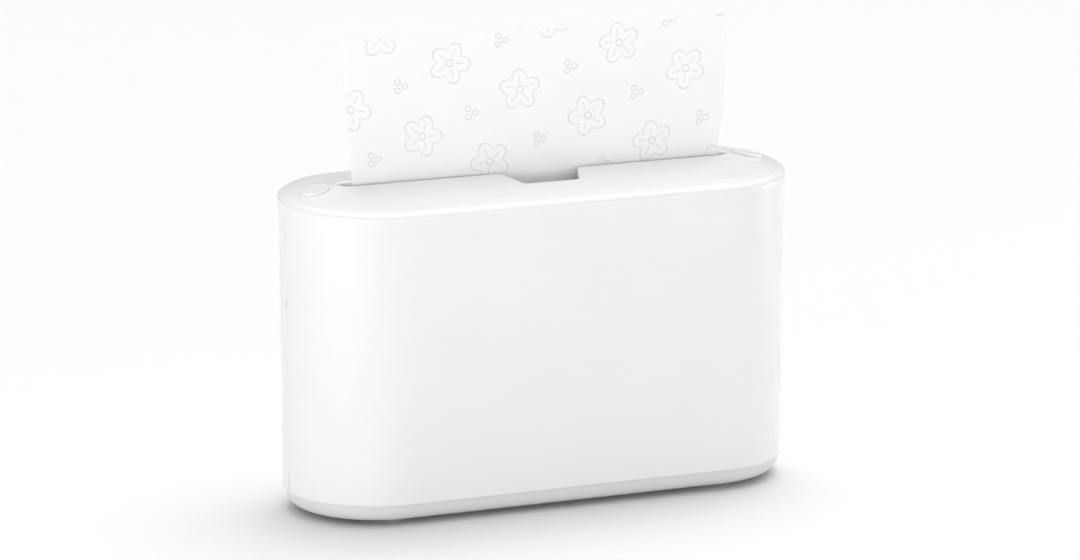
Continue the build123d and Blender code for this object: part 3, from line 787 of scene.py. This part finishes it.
def towel_line(towels, lip, top, lying):
    """Points down the middle of the leading towel, as (y, z): standing, bent, laid, turned under."""
    stand_steps, bend_steps, laid_steps, fold_steps, turned_steps = 40, 16, 12, 4, 20
    pull_down, pull_forward = 0.5 * towels.bend, 0.75 * towels.bend
    low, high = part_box("leading_towel")
    stand_y = (low.y + high.y) / 2
    lay_y = stand_y + towels.bend
    far_y = lay_y + towels.laid
    points = []
    for n in range(stand_steps):
        z = top + (lip - top) * n / stand_steps
        points.append((stand_y - bow(towels, (z - lip) / (top - lip)), z))
    start_y = stand_y - bow(towels, 0.0)
    corners = (
        (start_y, lip), (start_y, lip - pull_down), (lay_y - pull_forward, lying), (lay_y, lying),
    )
    points += [curve_point(corners, n / bend_steps) for n in range(bend_steps + 1)]
    points += [(lay_y + towels.laid * n / laid_steps, lying) for n in range(1, laid_steps + 1)]
    turn_radius = towels.fold_gap / 2
    for n in range(1, fold_steps + 1):
        turn = math.pi * n / fold_steps
        points.append(
            (far_y + turn_radius * math.sin(turn), lying + turn_radius * (math.cos(turn) - 1))
        )
    under = lying - towels.fold_gap
    points += [(far_y - towels.turned * n / turned_steps, under) for n in range(1, turned_steps + 1)]
    return points


def towel_row(towels, half, y, z, rise):
    """Points across the towel at one place down its line, its rise being 0 at the lip, 1 on top."""
    flared_by, flare_power, wave_power = 0.8, 0.8, 1.5
    wave_turn, wave_start = 5.1, 1.0
    columns = towels.columns
    row = []
    for c in range(columns + 1):
        across = 2 * c / columns - 1
        spread = half + towels.flare * min(rise / flared_by, 1.0) ** flare_power
        wave = towels.wave * math.sin(wave_turn * across + wave_start) * rise**wave_power
        dip = towels.dip * (1 - across * across) * rise
        row.append((across * spread + towels.lean * rise, y - wave, z - dip))
    return row


class DISPENSER_OT_leading_towel(bpy.types.Operator):
    """Make the towel that stands out of the slot"""

    bl_idname = "dispenser.leading_towel"
    bl_label = "Leading towel"

    def execute(self, context):
        towels = context.scene.towels
        low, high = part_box("leading_towel")
        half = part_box("towel_stack")[1].x
        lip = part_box("lid")[1].z
        line = towel_line(towels, lip, high.z, low.z + towels.fold_gap)
        gone = [0.0]
        for (y0, z0), (y1, z1) in zip(line, line[1:]):
            gone.append(gone[-1] + math.hypot(y1 - y0, z1 - z0))
        length = gone[-1]
        columns = towels.columns
        vertices, flat = [], []
        for (y, z), along in zip(line, gone):
            vertices += towel_row(towels, half, y, z, max(0.0, (z - lip) / (high.z - lip)))
            flat += [((2 * c / columns - 1) * half, length - along) for c in range(columns + 1)]
        standing = next(along for (_, z), along in zip(line, gone) if z <= lip)
        piece = new_piece(
            "leading_towel_sheet", vertices, grid_faces(len(line), columns + 1),
            printed_tissue(context.scene.finishes, towels, length - standing),
        )
        lay_flat(piece, flat)
        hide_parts("leading_towel")
        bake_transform(piece)
        return {"FINISHED"}


def spring_strip(side, steel):
    """The straight strip, a little cupped across as such springs are."""
    steps = 59
    low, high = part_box(f"spring_tape_{side}")
    room = high.x - low.x
    middle = (low.x + high.x) / 2
    drop = high.z - low.z
    line = [(middle, low.z + drop * n / steps) for n in range(steps + 1)]
    cup = math.copysign(0.25 * room, middle)
    vertices, faces = band(line, high.y, thickness=0.45 * room, cup=cup)
    piece = new_piece(f"spring_strip_{side}", vertices, faces, steel)
    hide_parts(f"spring_tape_{side}")
    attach(piece, "base")
    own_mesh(piece)


class DISPENSER_OT_lift(bpy.types.Operator):
    """Finish the platform, guide frames, drums, axles and strips"""

    bl_idname = "dispenser.lift"
    bl_label = "Lift"

    def execute(self, context):
        finishes = context.scene.finishes
        steel = rolled_steel(finishes)
        guides = [f"guide_frame_{side}" for side in SIDES]
        dress(["platform", *guides], inner_plastic(finishes))
        dress([f"spring_drum_{side}" for side in SIDES], drum_plastic(finishes))
        dress([f"spring_coil_{side}" for side in SIDES], steel)
        dress([f"drum_axle_{side}" for side in SIDES], zinc_steel(finishes))
        for side in SIDES:
            spring_strip(side, steel)
        return {"FINISHED"}


def sprung_clip(side, clips, steel):
    """A bent strip: upright leg, nose under the keeper, and the ramp that the button pushes."""
    node = f"latch_clip_{side}"
    low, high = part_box(node)
    outer = 1 if side == "right" else -1
    leg_x = (high.x if outer > 0 else low.x) - outer * clips.thickness / 2
    end_rise = clips.thickness / 2 * clips.run / math.hypot(clips.run, clips.rise)
    nose_z = high.z - end_rise - clips.rise
    corners = [
        (leg_x, low.z), (leg_x, nose_z), (leg_x - outer * clips.reach, nose_z),
        (leg_x - outer * (clips.reach - clips.run), nose_z + clips.rise),
    ]
    vertices, faces = band(rounded(corners, clips.turn), high.y, clips.thickness)
    piece = new_piece(f"sprung_clip_{side}", vertices, faces, steel)
    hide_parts(node)
    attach(piece, "base")
    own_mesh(piece)


class DISPENSER_OT_latches(bpy.types.Operator):
    """Make the latch clips and finish the keepers"""

    bl_idname = "dispenser.latches"
    bl_label = "Latches"

    def execute(self, context):
        finishes = context.scene.finishes
        steel = rolled_steel(finishes)
        keepers = [f"latch_keeper_{side}" for side in SIDES]
        dress(keepers, inner_plastic(finishes))
        for side in SIDES:
            sprung_clip(side, context.scene.clips, steel)
        return {"FINISHED"}


class DISPENSER_OT_fasteners(bpy.types.Operator):
    """Make the screws and finish the rivets and feet"""

    bl_idname = "dispenser.fasteners"
    bl_label = "Fasteners and feet"

    def execute(self, context):
        finishes = context.scene.finishes
        zinc = zinc_steel(finishes)
        dress(["latch_rivets", "tape_rivets"], zinc, bevel=0.3 * MM)
        dress(["rubber_feet"], foot_rubber(finishes), bevel=0.6 * MM)
        screws_piece(
            "pan_head_screws", "base_screws", "base", material=zinc,
            head_radius=3.1 * MM, head_height=1.9 * MM, shaft_radius=1.5 * MM,
        )
        screws_piece(
            "keeper_pan_head_screws", "keeper_screws", "lid", material=zinc,
            head_radius=2.4 * MM, head_height=1.5 * MM, shaft_radius=1.25 * MM,
        )
        return {"FINISHED"}


def softbox(name, place, aim, width, height, watts):
    light = bpy.data.lights.new(name, "AREA")
    light.shape = "RECTANGLE"
    light.size = width
    light.size_y = height
    light.energy = watts
    lamp = bpy.data.objects.new(name, light)
    lamp.location = place
    lamp.rotation_mode = "QUATERNION"
    lamp.rotation_quaternion = (Vector(aim) - Vector(place)).to_track_quat("-Z", "Y")
    bpy.context.scene.collection.objects.link(lamp)


def studio_sky(studio):
    """Even light from all round, a wide soft one overhead, and a low band of it in front."""
    overhead_way, front_way, up = (0.2, 0.22, 0.955), (-0.3, -0.95, 0.0), (0.0, 0.0, 1.0)
    overhead_focus, band_focus = 9.0, -60.0
    world = bpy.data.worlds.new("studio_sky")
    world.use_nodes = True
    tree = world.node_tree
    way = add(tree, "ShaderNodeTexCoord").outputs["Generated"]
    facing = [
        add(tree, "ShaderNodeVectorMath", {0: way, 1: middle}, operation="DOT_PRODUCT")
        for middle in (overhead_way, front_way, up)
    ]
    above, ahead = [
        add(tree, "ShaderNodeMath", {0: share, 1: 0.0}, operation="MAXIMUM") for share in facing[:2]
    ]
    overhead = add(tree, "ShaderNodeMath", {0: above, 1: overhead_focus}, operation="POWER")
    height = add(tree, "ShaderNodeMath", {0: facing[2], 1: facing[2]}, operation="MULTIPLY")
    fading = add(tree, "ShaderNodeMath", {0: height, 1: band_focus}, operation="MULTIPLY")
    level = add(tree, "ShaderNodeMath", {0: fading}, operation="EXPONENT")
    front = add(tree, "ShaderNodeMath", {0: level, 1: ahead}, operation="MULTIPLY")
    glow = add(
        tree, "ShaderNodeMath", {0: overhead, 1: studio.top, 2: studio.sky},
        operation="MULTIPLY_ADD",
    )
    glow = add(
        tree, "ShaderNodeMath", {0: front, 1: studio.front, 2: glow}, operation="MULTIPLY_ADD"
    )
    fill(tree.nodes["Background"], {"Strength": glow, "Color": (1.0, 1.0, 1.0, 1.0)})
    return world


def studio_camera(studio):
    look_at = Vector((5.61 * MM, 4.41 * MM, 128.08 * MM))
    level = math.cos(studio.elevation)
    back = Vector((
        math.sin(studio.azimuth) * level,
        -math.cos(studio.azimuth) * level,
        math.sin(studio.elevation),
    ))
    camera = bpy.data.objects.new("camera", bpy.data.cameras.new("camera"))
    camera.data.sensor_width = 36.0
    camera.data.lens = studio.lens
    camera.data.clip_end = 60.0
    camera.location = look_at + back * studio.distance
    camera.rotation_mode = "QUATERNION"
    camera.rotation_quaternion = (-back).to_track_quat("-Z", "Y")
    return camera


class DISPENSER_OT_studio(bpy.types.Operator):
    """Make the floor, the lights and the camera"""

    bl_idname = "dispenser.studio"
    bl_label = "Studio"

    def execute(self, context):
        scene = context.scene
        reach = 9.0
        corners = [(x * reach, y * reach, 0.0) for x, y in ((-1, -1), (1, -1), (1, 1), (-1, 1))]
        paint = floor_paint(scene.finishes)
        new_piece("studio_floor", corners, [(0, 1, 2, 3)], paint)
        scene.view_settings.view_transform = "Standard"
        scene.world = studio_sky(scene.studio)
        middle = (0.0, 0.0, 0.1)
        softbox(
            "key_softbox", place=(-1.35, -0.65, 0.1), aim=middle,
            width=0.8, height=0.18, watts=scene.studio.key,
        )
        softbox(
            "fill_softbox", place=(1.4, -0.2, 0.12), aim=middle,
            width=0.5, height=0.2, watts=scene.studio.fill,
        )
        camera = studio_camera(scene.studio)
        scene.collection.objects.link(camera)
        scene.camera = camera
        return {"FINISHED"}


OPERATORS = (
    DISPENSER_OT_casing,
    DISPENSER_OT_lid,
    DISPENSER_OT_buttons,
    DISPENSER_OT_towel_stack,
    DISPENSER_OT_leading_towel,
    DISPENSER_OT_lift,
    DISPENSER_OT_latches,
    DISPENSER_OT_fasteners,
    DISPENSER_OT_studio,
)


class DISPENSER_PT_pieces(bpy.types.Panel):
    """The dispenser's pieces and settings"""

    bl_idname = "DISPENSER_PT_pieces"
    bl_label = "Towel dispenser"
    bl_space_type = "VIEW_3D"
    bl_region_type = "UI"
    bl_category = "Dispenser"

    def draw(self, context):
        for operator in OPERATORS:
            self.layout.operator(operator.bl_idname)
        for name, group in SETTINGS.items():
            box = self.layout.box()
            for key in group.__annotations__:
                box.prop(getattr(context.scene, name), key)


def register():
    for name, group in SETTINGS.items():
        bpy.utils.register_class(group)
        setattr(bpy.types.Scene, name, PointerProperty(type=group))
    for kind in (*OPERATORS, DISPENSER_PT_pieces):
        bpy.utils.register_class(kind)


def unregister():
    for kind in (DISPENSER_PT_pieces, *reversed(OPERATORS)):
        bpy.utils.unregister_class(kind)
    for name, group in SETTINGS.items():
        delattr(bpy.types.Scene, name)
        bpy.utils.unregister_class(group)


def main():
    register()
    bpy.ops.dispenser.casing()
    bpy.ops.dispenser.lid()
    bpy.ops.dispenser.buttons()
    bpy.ops.dispenser.towel_stack()
    bpy.ops.dispenser.leading_towel()
    bpy.ops.dispenser.lift()
    bpy.ops.dispenser.latches()
    bpy.ops.dispenser.fasteners()
    bpy.ops.dispenser.studio()


if __name__ == "__main__":
    main()
